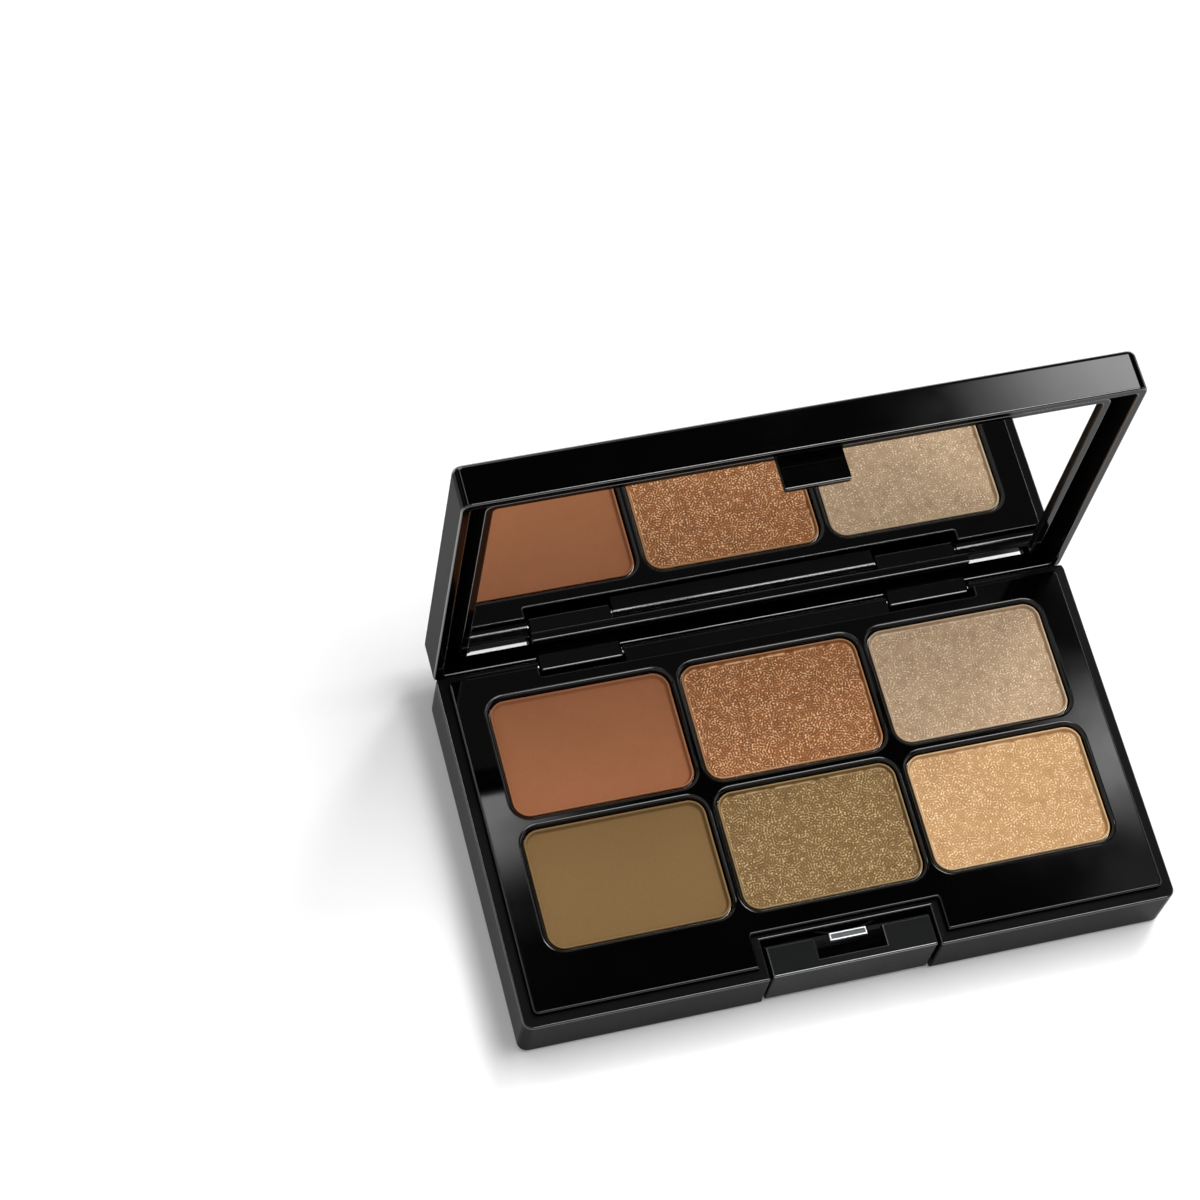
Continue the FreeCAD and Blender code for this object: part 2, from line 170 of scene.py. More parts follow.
def powder_group():
    """Pressed powder: base colour with blotches and grain, painted shade in the hollows, and flakes over it
    whose bright colour is partly shimmer and partly a painted highlight, as on the lip and rear crease.
    """
    name = "Pressed powder"
    if name in bpy.data.node_groups:
        return bpy.data.node_groups[name]
    floats, colours = "NodeSocketFloat", "NodeSocketColor"
    group, enter, leave = make_group(
        name,
        (("Vector", "NodeSocketVector", None), ("Flake", floats, 0.0), ("Valley", floats, 0.0),
         ("Base", colours, None), ("Bright", colours, None), ("Dark", colours, None),
         ("Blotch", floats, 0.2), ("Grain", floats, 0.1)),
        (("Colour", colours), ("Shine", floats), ("Normal", "NodeSocketVector")))
    place = enter.outputs["Vector"]
    clouds = noise_at(group, place, 420.0, 3.0)
    spots = noise_at(group, place, 1500.0, 2.0)
    grain = noise_at(group, place, 6500.0, 3.0)
    blotch = enter.outputs["Blotch"]
    shade = math_node(group, "MULTIPLY", ramp(group, spots, 0.5, 0.72), blotch)
    cloud = math_node(group, "MULTIPLY", ramp(group, clouds, 0.4, 0.7), blotch)
    dark = math_node(group, "ADD", shade, cloud)
    # Painted shade in the hollows between flakes pulls the colour towards Dark
    dark = math_node(group, "ADD", dark, enter.outputs["Valley"], clamp=True)
    ground = mix_colour(group, dark, enter.outputs["Base"], enter.outputs["Dark"])
    speck = math_node(group, "MULTIPLY", ramp(group, grain, 0.3, 0.7), enter.outputs["Grain"])
    ground = mix_colour(group, speck, ground, enter.outputs["Bright"])
    colour = mix_colour(group, enter.outputs["Flake"], ground, enter.outputs["Bright"])
    group.links.new(colour, leave.inputs["Colour"])
    group.links.new(ramp(group, enter.outputs["Flake"], 0.2, 0.9), leave.inputs["Shine"])
    group.links.new(bumped(group, grain, 0.25, 0.03 * MM), leave.inputs["Normal"])
    return group


def moulded_material(name, colour, clean, handled, metallic=0.0, grain=5000.0, depth=0.2, specular=0.5,
                     coat=None, up=(0, 0, 1), side=None):
    """Material on the moulded surface group: coat is the index of its polished edges."""
    material = bpy.data.materials.new(name)
    material.use_nodes = True
    tree = material.node_tree
    shader = tree.nodes["Principled BSDF"]
    place = add(tree, "ShaderNodeTexCoord").outputs
    surface = add(tree, "ShaderNodeGroup", node_tree=moulded_group())
    tree.links.new(place["Object"], surface.inputs["Vector"])
    tree.links.new(place["Normal"], surface.inputs["Facing"])
    values = {"Clean": clean, "Handled": handled, "Grain": grain, "Depth": depth, "Up": up}
    values["Side"] = clean if side is None else side
    for key, value in values.items():
        surface.inputs[key].default_value = value
    shader.inputs["Base Color"].default_value = opaque(colour)
    if coat:
        tree.links.new(surface.outputs["Edge"], shader.inputs["Coat Weight"])
        shader.inputs["Coat IOR"].default_value = coat
        shader.inputs["Coat Roughness"].default_value = 0.12
    shader.inputs["Metallic"].default_value = metallic
    shader.inputs["Specular IOR Level"].default_value = specular
    tree.links.new(surface.outputs["Roughness"], shader.inputs["Roughness"])
    tree.links.new(surface.outputs["Normal"], shader.inputs["Normal"])
    return material


def painted_highlight_border(material, node, width, middle, border):
    """Paints a highlight round a flat node: colours its border brighter than its middle, as if its edge
    caught the light.
    """
    low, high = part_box(node)
    tree = material.node_tree
    place = add(tree, "ShaderNodeTexCoord").outputs["Object"]
    centre = (low + high) / 2
    out = add(tree, "ShaderNodeVectorMath", {0: place, 1: centre}, operation="SUBTRACT").outputs[0]
    out = add(tree, "ShaderNodeVectorMath", {0: out}, operation="ABSOLUTE").outputs[0]
    out = add(tree, "ShaderNodeVectorMath", {0: out, 1: (high - low) / 2}, operation="SUBTRACT").outputs[0]
    parts = add(tree, "ShaderNodeSeparateXYZ", {0: out}).outputs
    nearest = math_node(tree, "MAXIMUM", parts["X"], parts["Y"])
    # Mask of the border where the highlight is painted
    rim = ramp(tree, nearest, -1.1 * width, -0.9 * width)
    paint = mix_colour(tree, rim, opaque(middle), opaque(border))
    tree.links.new(paint, tree.nodes["Principled BSDF"].inputs["Base Color"])


def dress(material, *names):
    """Gives a material to CAD nodes."""
    for name in names:
        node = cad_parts[name]
        node.data.materials.clear()
        node.data.materials.append(material)


def grid_lines(half, cell, edge):
    """Grid lines from side to side: at the edge's own steps near both ends, one cell apart between."""
    steps = half - np.array(edge)
    count = max(2, math.ceil(2 * steps[-1] / cell))
    inner = np.linspace(-steps[-1], steps[-1], count + 1)
    return np.concatenate([-steps[:-1], inner, steps[:-1][::-1]])


def cake_mesh(name, low, high, settings, cell):
    """Closed cake: rounded grid with a lip and a hollow, its side, and the core that fills the pan."""
    centre = (low + high) / 2
    half_x, half_y = (high.x - low.x) / 2, (high.y - low.y) / 2
    corner = settings.corner
    top, rim, bottom = high.z, high.z - settings.cap, low.z
    edge = [MM * step for step in (0, 0.03, 0.07, 0.12, 0.2, 0.3, 0.4, 0.5, 0.6, 0.7, 0.8, 0.9, 0.97)]
    x, y = np.meshgrid(grid_lines(half_x, cell, edge), grid_lines(half_y, cell, edge), indexing="ij")
    side_x, side_y = np.sign(x), np.sign(y)
    away_x, away_y = np.abs(x), np.abs(y)
    p = np.clip((away_x - half_x + corner) / corner, 0, 1)
    q = np.clip((away_y - half_y + corner) / corner, 0, 1)
    in_corner = (p > 0) & (q > 0)
    away_x = np.where(in_corner, half_x - corner + corner * p * np.sqrt(1 - q * q / 2), away_x)
    away_y = np.where(in_corner, half_y - corner + corner * q * np.sqrt(1 - p * p / 2), away_y)
    reach = np.hypot(away_x - half_x + corner, away_y - half_y + corner)
    inset = np.where(in_corner, corner - reach, np.minimum(half_x - away_x, half_y - away_y))
    inset = np.maximum(inset, 0)

    bend = settings.edge_round
    falling = np.clip(bend - inset, 0, bend)
    height = top - bend + np.sqrt(np.maximum(bend * bend - falling * falling, 0))
    height -= np.clip((inset - settings.lip) / settings.slope, 0, 1) * settings.press
    columns, rows = x.shape
    points = np.stack([side_x * away_x, side_y * away_y, height], axis=-1).reshape(-1, 3)

    index = np.arange(columns * rows).reshape(columns, rows)
    corners = [index[:-1, :-1], index[1:, :-1], index[1:, 1:], index[:-1, 1:]]
    quads = np.stack(corners, axis=-1).reshape(-1, 4)
    loop = np.concatenate([index[:-1, 0], index[-1, :-1], index[:0:-1, -1], index[0, :0:-1]])
    ring = points[loop]
    out_x = np.maximum(np.abs(ring[:, 0]) - half_x + corner, 0)
    out_y = np.maximum(np.abs(ring[:, 1]) - half_y + corner, 0)
    length = np.hypot(out_x, out_y)
    outward = np.sign(ring[:, :2]) * np.stack([out_x, out_y], axis=-1) / length[:, None]
    core = ring[:, :2] - outward * settings.core_inset
    levels = ((ring[:, :2], rim), (core, rim), (core, bottom))
    rings = [np.column_stack([flat, np.full(len(loop), z)]) for flat, z in levels]
    points = np.concatenate([points] + rings) + np.array([centre.x, centre.y, 0])
    faces = quads.tolist()
    upper = loop
    for step in range(len(rings)):
        lower = columns * rows + step * len(loop) + np.arange(len(loop))
        turn = np.stack([lower, np.roll(lower, -1), np.roll(upper, -1), upper], axis=-1)
        faces += turn.tolist()
        upper = lower
    faces.append(upper[::-1].tolist())

    mesh = bpy.data.meshes.new(name)
    mesh.from_pydata(points.tolist(), [], faces)
    smooth = np.ones(len(faces), bool)
    smooth[-1] = False
    mesh.polygons.foreach_set("use_smooth", smooth)
    depth = np.concatenate([inset.ravel(), np.zeros(len(rings) * len(loop))])
    mesh.attributes.new("inset", "FLOAT", "POINT").data.foreach_set("value", depth)
    # Share towards the rear of the cake; among other uses, it keeps the painted highlight line at the slope's
    # foot to the rear side
    rear = np.clip((points[:, 1] - centre.y) / half_y + 0.9, 0, 0.5) * 2
    mesh.attributes.new("rear", "FLOAT", "POINT").data.foreach_set("value", rear)
    mesh.validate()
    return mesh


def relief_tree():
    """Geometry nodes that raise worm-like flakes inside a cake's border and store them as an attribute, which
    also carries painted light: the flakes' bright colour is partly a painted highlight, the hollows between
    them get painted shade, and a bright line along the rear crease is a painted highlight.
    """
    name = "Pressed relief"
    if name in bpy.data.node_groups:
        return bpy.data.node_groups[name]
    tree = bpy.data.node_groups.new(name, "GeometryNodeTree")
    floats = "NodeSocketFloat"
    tree.interface.new_socket("Geometry", in_out="INPUT", socket_type="NodeSocketGeometry")
    sizes = (("Flake size", floats, 0.9 * MM), ("Flake lines", floats, 2.0), ("Flake share", floats, 0.2),
             ("Cover", floats, 0.5), ("Height", floats, 0.03 * MM), ("Border", floats, 0.9 * MM),
             ("Seed", floats, 0.0), ("Material", "NodeSocketMaterial", None))
    for label, kind, default in sizes:
        socket = tree.interface.new_socket(label, in_out="INPUT", socket_type=kind)
        if default is not None:
            socket.default_value = default
    tree.interface.new_socket("Geometry", in_out="OUTPUT", socket_type="NodeSocketGeometry")
    enter = add(tree, "NodeGroupInput").outputs
    leave = add(tree, "NodeGroupOutput")
    place = add(tree, "GeometryNodeInputPosition").outputs[0]
    scale = math_node(tree, "DIVIDE", 1.0, enter["Flake size"])

    def noise(shift, stretch):
        """Smooth noise of its own seed, coarser or finer than the flakes by a factor."""
        seed = math_node(tree, "ADD", enter["Seed"], shift)
        fine = math_node(tree, "MULTIPLY", scale, stretch)
        return add(tree, "ShaderNodeTexNoise", {"Vector": place, "W": seed, "Scale": fine, "Detail": 1.0},
                   noise_dimensions="4D").outputs[0]

    def kept(shift, stretch, soft=0.08):
        """Mask that breaks lines into short strokes."""
        edge = math_node(tree, "SUBTRACT", 1.0, enter["Cover"])
        return ramp(tree, noise(shift, stretch), math_node(tree, "SUBTRACT", edge, soft),
                    math_node(tree, "ADD", edge, soft))

    shift = math_node(tree, "MULTIPLY", enter["Seed"], 0.37)
    offset = add(tree, "ShaderNodeCombineXYZ", {"X": shift}).outputs[0]
    apart = add(tree, "ShaderNodeVectorMath", {0: place, 1: offset}, operation="ADD").outputs[0]
    waves = add(tree, "ShaderNodeTexGabor", {"Vector": apart, "Scale": scale, "Anisotropy": 0.0,
                                             "Frequency": enter["Flake lines"]}).outputs["Phase"]
    away = math_node(tree, "ABSOLUTE", math_node(tree, "SUBTRACT", waves, 0.5))
    # The strokes are raised shimmer, and their bright colour is partly a painted highlight
    stroke = ramp(tree, away, 0.0, enter["Flake share"], 1.0, 0.0)
    # Painted shade: the hollows between the strokes are lowered a little and coloured darker
    valley_shade = ramp(tree, away, 0.25, 0.5, 0.0, -0.7)
    level = ramp(tree, kept(3.7, 1.3, 0.12), 0.0, 1.0, 0.3, 1.0)
    flake = math_node(tree, "MULTIPLY", stroke, level)
    # Sparse sparkles below are painted glints of shimmer
    fine = math_node(tree, "MULTIPLY", scale, 2.0)
    cells = add(tree, "ShaderNodeTexVoronoi", {"Vector": apart, "Scale": fine},
                voronoi_dimensions="2D").outputs
    draw = add(tree, "FunctionNodeSeparateColor", {0: cells["Color"]}).outputs[0]
    chance = ramp(tree, draw, 0.7, 0.72)
    glint_dots = math_node(tree, "MULTIPLY", ramp(tree, cells["Distance"], 0.1, 0.3, 1.4, 0.0), chance)
    flake = math_node(tree, "ADD", math_node(tree, "MAXIMUM", flake, glint_dots), valley_shade)
    inset = add(tree, "GeometryNodeInputNamedAttribute", {"Name": "inset"}, data_type="FLOAT").outputs[0]
    start = enter["Border"]
    rear = add(tree, "GeometryNodeInputNamedAttribute", {"Name": "rear"}, data_type="FLOAT").outputs[0]
    inside = ramp(tree, inset, start, math_node(tree, "ADD", start, 0.1 * MM))
    inside = math_node(tree, "MAXIMUM", inside, ramp(tree, rear, 0.0, 0.1, 1.0, 0.0))
    flake = math_node(tree, "MULTIPLY", flake, inside)
    past = math_node(tree, "ABSOLUTE", math_node(tree, "SUBTRACT", inset, start))
    # Painted highlight: a bright broken line along the crease at the foot of the slope, raised slightly and
    # drawn on the rear side only
    broken = math_node(tree, "MULTIPLY", kept(29.0, 0.9, 0.2), rear)
    fold_highlight = math_node(tree, "MULTIPLY", ramp(tree, past, 0.03 * MM, 0.13 * MM, 1.6, 0.0), broken)
    flake = math_node(tree, "MAXIMUM", flake, fold_highlight)
    lift = add(tree, "ShaderNodeCombineXYZ", {"Z": math_node(tree, "MULTIPLY", flake, enter["Height"])})
    moved = add(tree, "GeometryNodeSetPosition", {"Geometry": enter["Geometry"], "Offset": lift.outputs[0]})
    stored = add(tree, "GeometryNodeStoreNamedAttribute",
                 {"Geometry": moved.outputs[0], "Name": "flake", "Value": flake},
                 data_type="FLOAT", domain="POINT")
    real = add(tree, "GeometryNodeRealizeInstances", {"Geometry": stored.outputs[0]})
    done = add(tree, "GeometryNodeSetMaterial",
               {"Geometry": real.outputs[0], "Material": enter["Material"]})
    tree.links.new(done.outputs[0], leave.inputs["Geometry"])
    return tree


def bake(piece, tree, values):
    """Runs a geometry node tree with the given inputs and keeps its result as a plain mesh."""
    modifier = piece.modifiers.new(tree.name, "NODES")
    modifier.node_group = tree
    for socket in tree.interface.items_tree:
        if socket.in_out == "INPUT" and socket.name in values:
            modifier[socket.identifier] = values[socket.name]
    piece.update_tag()
    bpy.context.view_layer.update()
    ready = piece.evaluated_get(bpy.context.evaluated_depsgraph_get())
    baked = bpy.data.meshes.new_from_object(ready)
    piece.modifiers.remove(modifier)
    raw = piece.data
    piece.data = baked
    bpy.data.meshes.remove(raw)
    baked.name = piece.name


def powder_material(name, look):
    """Material of one cake."""
    material = bpy.data.materials.new(name)
    material.use_nodes = True
    tree = material.node_tree
    shader = tree.nodes["Principled BSDF"]
    place = add(tree, "ShaderNodeTexCoord").outputs["Object"]
    flake = add(tree, "ShaderNodeAttribute", attribute_name="flake").outputs["Fac"]
    surface = add(tree, "ShaderNodeGroup", node_tree=powder_group())
    tree.links.new(place, surface.inputs["Vector"])
    stroke = math_node(tree, "MULTIPLY", math_node(tree, "MAXIMUM", flake, 0.0), look["Flecks"])
    # Painted shade in the hollows: the attribute's negative part
    valley_shade = math_node(tree, "MULTIPLY", math_node(tree, "MINIMUM", flake, 0.0), -look["Flecks"])
    inset = add(tree, "ShaderNodeAttribute", attribute_name="inset").outputs["Fac"]
    # Painted highlight: the lip round a cake is coloured towards its bright colour
    lip = ramp(tree, inset, 0.1 * MM, 0.35 * MM, 0.35, 0.0)
    tree.links.new(math_node(tree, "MAXIMUM", stroke, lip), surface.inputs["Flake"])
    tree.links.new(valley_shade, surface.inputs["Valley"])
    for key in ("Base", "Bright", "Dark"):
        surface.inputs[key].default_value = opaque(look[key])
    surface.inputs["Blotch"].default_value = look["Blotch"]
    surface.inputs["Grain"].default_value = look["Grain"]
    rough = ramp(tree, surface.outputs["Shine"], 0.0, 1.0, look["Matte"], look["Polish"])
    tree.links.new(surface.outputs["Colour"], shader.inputs["Base Color"])
    if look["Shine"]:
        shine = math_node(tree, "MULTIPLY", surface.outputs["Shine"], look["Shine"])
        tree.links.new(shine, shader.inputs["Metallic"])
    tree.links.new(rough, shader.inputs["Roughness"])
    tree.links.new(surface.outputs["Normal"], shader.inputs["Normal"])
    shader.inputs["Specular IOR Level"].default_value = 0.15
    return material


class PaletteCaseSettings(bpy.types.PropertyGroup):
    black: FloatVectorProperty(
        name="Case colour", description="Colour of the moulded case", subtype="COLOR", min=0, max=1,
        default=(0.0006, 0.0006, 0.0006))
    shell: FloatVectorProperty(
        name="Tray colour", description="Colour of the tray under the deck", subtype="COLOR", min=0, max=1,
        default=(0.006, 0.006, 0.0062))
    satin: FloatVectorProperty(
        name="Button colour", description="Colour of the latch button", subtype="COLOR", min=0, max=1,
        default=(0.0085, 0.009, 0.0091))
    clean: FloatProperty(
        name="Clean gloss", description="Roughness of the case where it is clean", subtype="FACTOR",
        min=0, max=1, default=0.05)
    handled: FloatProperty(
        name="Handled gloss", description="Roughness of the case where it is handled", subtype="FACTOR",
        min=0, max=1, default=0.08)


class PaletteMetalSettings(bpy.types.PropertyGroup):
    steel: FloatVectorProperty(
        name="Steel colour", description="Colour of the hinge pins", subtype="COLOR", min=0, max=1,
        default=(0.42, 0.43, 0.44))
    catch: FloatVectorProperty(
        name="Catch colour", description="Colour of the catch plate inside its bright border",
        subtype="COLOR", min=0, max=1, default=(0.09, 0.092, 0.095))
    blued: FloatVectorProperty(
        name="Spring colour", description="Colour of the button's blued spring", subtype="COLOR",
        min=0, max=1, default=(0.012, 0.013, 0.016))
    pan: FloatVectorProperty(
        name="Pan colour", description="Colour of the pressed pans", subtype="COLOR", min=0, max=1,
        default=(0.55, 0.54, 0.52))
    silver: FloatVectorProperty(
        name="Mirror colour", description="Colour of the mirror's silvering", subtype="COLOR", min=0, max=1,
        default=(0.95, 0.96, 0.955))


class PalettePowderSettings(bpy.types.PropertyGroup):
    rear_left: FloatVectorProperty(
        name="Rear left", description="Colour of the rear left powder", subtype="COLOR", min=0, max=1,
        default=srgb(156, 100, 68))
    rear_middle: FloatVectorProperty(
        name="Rear middle", description="Colour of the rear middle powder", subtype="COLOR", min=0, max=1,
        default=srgb(140, 82, 41))
    rear_right: FloatVectorProperty(
        name="Rear right", description="Colour of the rear right powder", subtype="COLOR", min=0, max=1,
        default=srgb(173, 144, 112))
    front_left: FloatVectorProperty(
        name="Front left", description="Colour of the front left powder", subtype="COLOR", min=0, max=1,
        default=srgb(119, 92, 58))
    front_middle: FloatVectorProperty(
        name="Front middle", description="Colour of the front middle powder", subtype="COLOR", min=0, max=1,
        default=srgb(112, 84, 48))
    front_right: FloatVectorProperty(
        name="Front right", description="Colour of the front right powder", subtype="COLOR", min=0, max=1,
        default=srgb(184, 140, 92))
    corner: FloatProperty(
        name="Corner", description="Radius of the cakes' corners", unit="LENGTH", min=0, default=2.6 * MM)
    lip: FloatProperty(
        name="Lip", description="Width of the lip round a cake", unit="LENGTH", min=0, default=0.3 * MM)
    press: FloatProperty(
        name="Hollow", description="Depth of a cake's hollow inside its lip", unit="LENGTH", min=0,
        default=0.8 * MM)
    slope: FloatProperty(
        name="Slope", description="Width of the slope between a cake's lip and its hollow", unit="LENGTH",
        min=0.01 * MM, default=0.3 * MM)
    edge_round: FloatProperty(
        name="Edge radius", description="Radius of the lip's outer edge", unit="LENGTH", min=0,
        default=0.2 * MM)
    cap: FloatProperty(
        name="Cap", description="Height of a cake above its pan", unit="LENGTH", min=0, default=0.8 * MM)
    core_inset: FloatProperty(
        name="Core inset", description="How far a cake stands back inside its pan", unit="LENGTH", min=0,
        default=0.25 * MM)
    fine_cell: FloatProperty(
        name="Fine cell", description="Spacing of a shimmering cake's grid", unit="LENGTH", min=0.05 * MM,
        default=0.08 * MM)
    plain_cell: FloatProperty(
        name="Plain cell", description="Spacing of a matt cake's grid", unit="LENGTH", min=0.05 * MM,
        default=0.13 * MM)
    seed: IntProperty(name="Seed", description="Seed of the flakes", default=4)


class PaletteStageSettings(bpy.types.PropertyGroup):
    floor: FloatVectorProperty(
        name="Floor colour", description="Colour of the floor", subtype="COLOR", min=0, max=1,
        default=(0.8, 0.8, 0.8))
    key: FloatProperty(
        name="Key light", description="Power of the key light", unit="POWER", min=0, default=3.3)
    lens: FloatProperty(
        name="Lens", description="Focal length of the camera", subtype="DISTANCE_CAMERA", min=1,
        default=105.0)


class PALETTE_OT_case(bpy.types.Operator):
    """Gives the moulded pieces their black plastic"""
    bl_idname = "palette.case"
    bl_label = "Case"

    def execute(self, context):
        look = context.scene.palette_case
        gloss = moulded_material("Gloss plastic", look.black, look.clean, look.handled, depth=0.02,
                                 specular=0.1, coat=1.5)
        lid = moulded_material("Lid plastic", look.black, look.clean, look.handled, depth=0.02,
                               specular=0.14, coat=1.9, up=(0, 1, 0), side=0.6)
        shell = moulded_material("Tray plastic", look.shell, 0.16, 0.24, specular=0.015, coat=1.9)
        satin = moulded_material("Satin plastic", look.satin, 0.25, 0.32, grain=7000.0, depth=0.2,
                                 specular=0.03, coat=2.5)
        dress(gloss, "base_deck")
        dress(lid, "lid_shell", "mirror_frame")
        dress(shell, "base_shell")
        dress(satin, "latch_button")
        return {"FINISHED"}


class PALETTE_OT_metal(bpy.types.Operator):
    """Gives the pans, the pins and the catch their metal, with a painted highlight round the catch's border
    """
    bl_idname = "palette.metal"
    bl_label = "Metal"

    def execute(self, context):
        look = context.scene.palette_metal
        steel = moulded_material("Steel", look.steel, 0.22, 0.34, metallic=1.0, grain=9000.0)
        tin = moulded_material("Pan metal", look.pan, 0.3, 0.45, metallic=1.0, grain=4000.0)
        catch = moulded_material("Catch steel", look.catch, 0.3, 0.4, metallic=1.0, grain=9000.0)
        # Painted highlight: a near-white border round the catch plate's dark middle
        painted_highlight_border(catch, "catch_plate", 0.25 * MM, look.catch, (0.8, 0.81, 0.82))
        dress(steel, "hinge_pin_left", "hinge_pin_right")
        dress(catch, "catch_plate")
        dress(tin, *["pan_" + place for place in CAKES])
        return {"FINISHED"}


class PALETTE_OT_spring(bpy.types.Operator):
    """Makes the button's leaf spring in blued steel, as a piece of its own on the base"""
    bl_idname = "palette.spring"
    bl_label = "Spring"

    def execute(self, context):
        node, joint = "button_spring", "button_press"
        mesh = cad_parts[node].data.copy()
        mesh.name = "leaf_spring"
        mesh.materials.clear()
        mesh.materials.append(moulded_material(
            "Blued steel", context.scene.palette_metal.blued, 0.3, 0.4, metallic=1.0, grain=9000.0))
        piece = bpy.data.objects.new("leaf_spring", mesh)
        context.scene.collection.objects.link(piece)
        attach(piece, "base")
        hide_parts(node)
        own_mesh(piece)
        return {"FINISHED"}


class PALETTE_OT_mirror(bpy.types.Operator):
    """Gives the mirror its silvering, and the tape and the glue their own looks"""
    bl_idname = "palette.mirror"
    bl_label = "Mirror"

    def execute(self, context):
        look = context.scene.palette_metal
        silver = moulded_material("Mirror", look.silver, 0.0, 0.012, metallic=1.0, depth=0.0)
        foam = moulded_material("Foam tape", (0.75, 0.74, 0.7), 0.8, 0.95, grain=2500.0, depth=0.8)
        glue = moulded_material("Glue", (0.7, 0.66, 0.55), 0.3, 0.5, grain=1500.0, depth=0.3)
        dress(silver, "mirror_glass")
        dress(foam, "mirror_tape")
        dress(glue, "pan_glue")
        return {"FINISHED"}


SHIMMER = {"Blotch": 0.3, "Grain": 0.06, "Flecks": 1.0, "Shine": 0.12, "Matte": 0.6, "Polish": 0.4,
           "size": 1.15, "lines": 2.6, "share": 0.2, "cover": 0.5, "height": 0.04}
MATT = {"Blotch": 0.1, "Grain": 0.12, "Flecks": 0.08, "Shine": 0.0, "Matte": 0.85, "Polish": 0.8,
        "size": 0.9, "lines": 2.0, "share": 0.25, "cover": 0.5, "height": 0.005}
# Bright is the colour of the flakes and of the painted highlights on a cake's lip and rear crease; Dark is
# the colour of the blotches and of the painted shade in the hollows between flakes
POWDER_LOOKS = {
    "rear_left": dict(MATT, Bright=srgb(178, 122, 88), Dark=srgb(134, 84, 56)),
    "rear_middle": dict(SHIMMER, Bright=srgb(250, 204, 156), Dark=srgb(86, 42, 16)),
    "rear_right": dict(SHIMMER, Bright=srgb(240, 222, 196), Dark=srgb(124, 96, 70), Flecks=0.75),
    "front_left": dict(MATT, Bright=srgb(152, 124, 84), Dark=srgb(116, 90, 56)),
    "front_middle": dict(SHIMMER, Bright=srgb(216, 188, 140), Dark=srgb(80, 56, 28), Flecks=0.8),
    "front_right": dict(SHIMMER, Bright=srgb(255, 232, 192), Dark=srgb(150, 104, 58), Flecks=0.75),
}


class PALETTE_OT_powders(bpy.types.Operator):
    """Makes the six pressed cakes in place of their plain solids"""
    bl_idname = "palette.powders"
    bl_label = "Powders"

    def execute(self, context):
        settings = context.scene.palette_powders
        tree = relief_tree()
        for number, place in enumerate(CAKES):
            look = dict(POWDER_LOOKS[place], Base=tuple(getattr(settings, place)))
            low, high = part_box("powder_" + place)
            cell = settings.fine_cell if look["Shine"] else settings.plain_cell
            mesh = cake_mesh("cake_" + place, low, high, settings, cell)
            piece = bpy.data.objects.new("cake_" + place, mesh)
            context.scene.collection.objects.link(piece)
            bake(piece, tree, {
                "Flake size": look["size"] * MM, "Flake lines": look["lines"], "Flake share": look["share"],
                "Cover": look["cover"], "Height": look["height"] * MM,
                "Border": settings.lip + settings.slope, "Seed": float(settings.seed + 20 * number),
                "Material": powder_material("Powder " + place.replace("_", " "), look)})
            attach(piece, "base")
            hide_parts("powder_" + place)
        return {"FINISHED"}


def aim(direction, distance):
    """Placement at a distance along a direction from the origin, looking back at it."""
    away = Vector(direction).normalized()
    return Matrix.Translation(away * distance) @ away.to_track_quat("Z", "Y").to_matrix().to_4x4()


def area_light(name, direction, distance, size, power, reflected=True):
    """Soft light of a width and a length that faces the object, and that glossy surfaces reflect or not."""
    lamp = bpy.data.lights.new(name, "AREA")
    lamp.shape = "RECTANGLE"
    lamp.size, lamp.size_y = size
    lamp.energy = power
    light = bpy.data.objects.new(name, lamp)
    light.matrix_world = aim(direction, distance)
    light.visible_glossy = reflected
    bpy.context.scene.collection.objects.link(light)


def make_floor(colour):
    """Pale floor that reads as white wherever no shadow falls on it."""
    half = 3.0
    level = -0.02 * MM
    mesh = bpy.data.meshes.new("floor")
    corners = [(-half, -half, level), (half, -half, level), (half, half, level), (-half, half, level)]
    mesh.from_pydata(corners, [], [(0, 1, 2, 3)])
    material = bpy.data.materials.new("Floor")
    material.use_nodes = True
    tree = material.node_tree
    shader = tree.nodes["Principled BSDF"]
    rays = add(tree, "ShaderNodeLightPath").outputs
    seen = math_node(tree, "MAXIMUM", rays["Is Camera Ray"], rays["Is Glossy Ray"])
    seen = math_node(tree, "MAXIMUM", seen, rays["Is Transmission Ray"])
    paint = mix_colour(tree, seen, opaque(colour), (0.95, 0.95, 0.95, 1))
    tree.links.new(paint, shader.inputs["Base Color"])
    shader.inputs["Roughness"].default_value = 1.0
    shader.inputs["Specular IOR Level"].default_value = 0.0
    shader.inputs["Emission Color"].default_value = (1, 1, 1, 1)
    place = add(tree, "ShaderNodeTexCoord").outputs["Object"]
    distance = add(tree, "ShaderNodeVectorMath", {0: place}, operation="LENGTH").outputs["Value"]
    glow = math_node(tree, "MULTIPLY", seen, ramp(tree, distance, 0.15, 0.6, 0.04, 0.9))
    tree.links.new(glow, shader.inputs["Emission Strength"])
    mesh.materials.append(material)
    floor = bpy.data.objects.new("floor", mesh)
    bpy.context.scene.collection.objects.link(floor)


# Strength of the studio's surround between its patches
SURROUND_LEVEL = 0.03
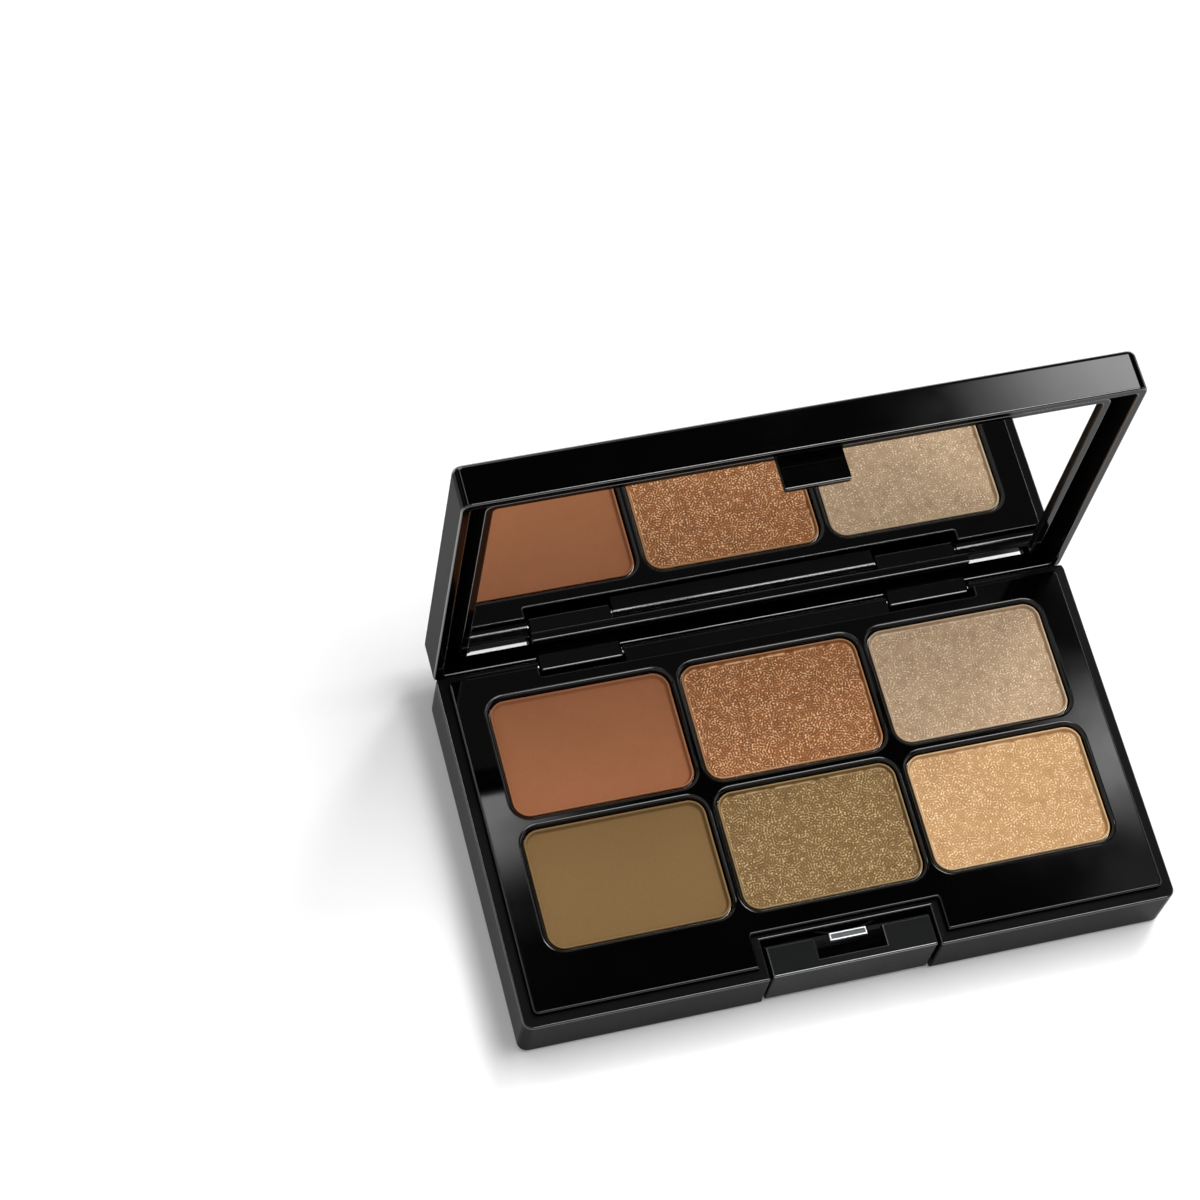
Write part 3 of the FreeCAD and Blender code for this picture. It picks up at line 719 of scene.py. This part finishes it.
# Soft patches of the surround: direction, inner and outer angle in degrees, strength
SURROUND = (
    ((-0.35, -0.6, 0.72), 20, 65, 0.46),
    ((0.500, 0.545, 1.0), 2.5, 6.0, 27.0),
    ((0.384, 0.369, 1.0), 0.3, 1.4, 23.0),
    ((0.178, 0.393, 1.0), 0.3, 1.6, 20.0),
    ((0.380, 0.305, 1.0), 0.3, 1.8, 2.0),
    ((-0.415, 0.4, 0.82), 2, 6, 8.0),
    ((-0.15, 1.0, 0.55), 4, 26, 1.6),
    ((-1.0, 0.15, 0.5), 4, 26, 0.6),
    ((1.0, -0.15, 0.5), 4, 26, 1.0),
)


def make_world():
    """Dim surround with a few soft patches of light."""
    world = bpy.data.worlds.new("Studio")
    bpy.context.scene.world = world
    world.use_nodes = True
    tree = world.node_tree
    ray = add(tree, "ShaderNodeTexCoord").outputs["Generated"]
    total = SURROUND_LEVEL
    for direction, inner, outer, strength in SURROUND:
        facing = dot(tree, ray, tuple(Vector(direction).normalized()))
        edge, core = math.cos(math.radians(outer)), math.cos(math.radians(inner))
        patch = ramp(tree, facing, edge, core, 0.0, strength)
        total = math_node(tree, "ADD", patch, total)
    tree.links.new(total, tree.nodes["Background"].inputs["Strength"])
    tree.nodes["Background"].inputs["Color"].default_value = (1, 1, 1, 1)


# Camera: its place in millimetres, the way it looks, and the way its right side points
CAMERA_PLACE = (-137.42, -184.70, 502.13)
CAMERA_FORWARD = (0.20695, 0.40252, -0.89171)
CAMERA_RIGHT = (0.96257, -0.24684, 0.11197)


class PALETTE_OT_stage(bpy.types.Operator):
    """Makes the floor, the light and the camera"""
    bl_idname = "palette.stage"
    bl_label = "Stage"

    def execute(self, context):
        scene = context.scene
        look = scene.palette_stage
        make_floor(look.floor)
        make_world()
        area_light("key", (0.40, 0.22, 1.0), 0.8, (0.4, 0.4), look.key, reflected=False)
        area_light("top", (0.28, -0.10, 1.0), 0.8, (0.28, 0.27), 1.6)
        lens = bpy.data.cameras.new("camera")
        lens.lens = look.lens
        lens.sensor_width = 36.0
        lens.clip_start = 0.01
        lens.clip_end = 20.0
        camera = bpy.data.objects.new("camera", lens)
        forward = Vector(CAMERA_FORWARD).normalized()
        right = Vector(CAMERA_RIGHT)
        right = (right - right.dot(forward) * forward).normalized()
        turn = Matrix((right, right.cross(forward), -forward)).transposed().to_4x4()
        camera.matrix_world = Matrix.Translation(Vector(CAMERA_PLACE) * MM) @ turn
        scene.collection.objects.link(camera)
        scene.camera = camera
        scene.view_settings.view_transform = "Standard"
        return {"FINISHED"}


class PALETTE_PT_panel(bpy.types.Panel):
    """Lists the palette's pieces"""
    bl_label = "Palette"
    bl_idname = "PALETTE_PT_panel"
    bl_space_type = "VIEW_3D"
    bl_region_type = "UI"
    bl_category = "Palette"

    def draw(self, context):
        scene = context.scene
        sections = ((("palette.case",), scene.palette_case),
                    (("palette.metal", "palette.spring", "palette.mirror"), scene.palette_metal),
                    (("palette.powders",), scene.palette_powders),
                    (("palette.stage",), scene.palette_stage))
        for operators, settings in sections:
            column = self.layout.column(align=True)
            for operator in operators:
                column.operator(operator)
            for name in settings.bl_rna.properties.keys():
                if name not in ("rna_type", "name"):
                    column.prop(settings, name)


SETTINGS = {
    "palette_case": PaletteCaseSettings,
    "palette_metal": PaletteMetalSettings,
    "palette_powders": PalettePowderSettings,
    "palette_stage": PaletteStageSettings,
}
CLASSES = (*SETTINGS.values(), PALETTE_OT_case, PALETTE_OT_metal, PALETTE_OT_spring, PALETTE_OT_mirror,
           PALETTE_OT_powders, PALETTE_OT_stage, PALETTE_PT_panel)


def register():
    for cls in CLASSES:
        bpy.utils.register_class(cls)
    for name, cls in SETTINGS.items():
        setattr(bpy.types.Scene, name, PointerProperty(type=cls))


def unregister():
    for name in SETTINGS:
        delattr(bpy.types.Scene, name)
    for cls in reversed(CLASSES):
        bpy.utils.unregister_class(cls)


def main():
    register()
    bpy.ops.palette.case()
    bpy.ops.palette.metal()
    bpy.ops.palette.spring()
    bpy.ops.palette.mirror()
    bpy.ops.palette.powders()
    bpy.ops.palette.stage()


if __name__ == "__main__":
    main()
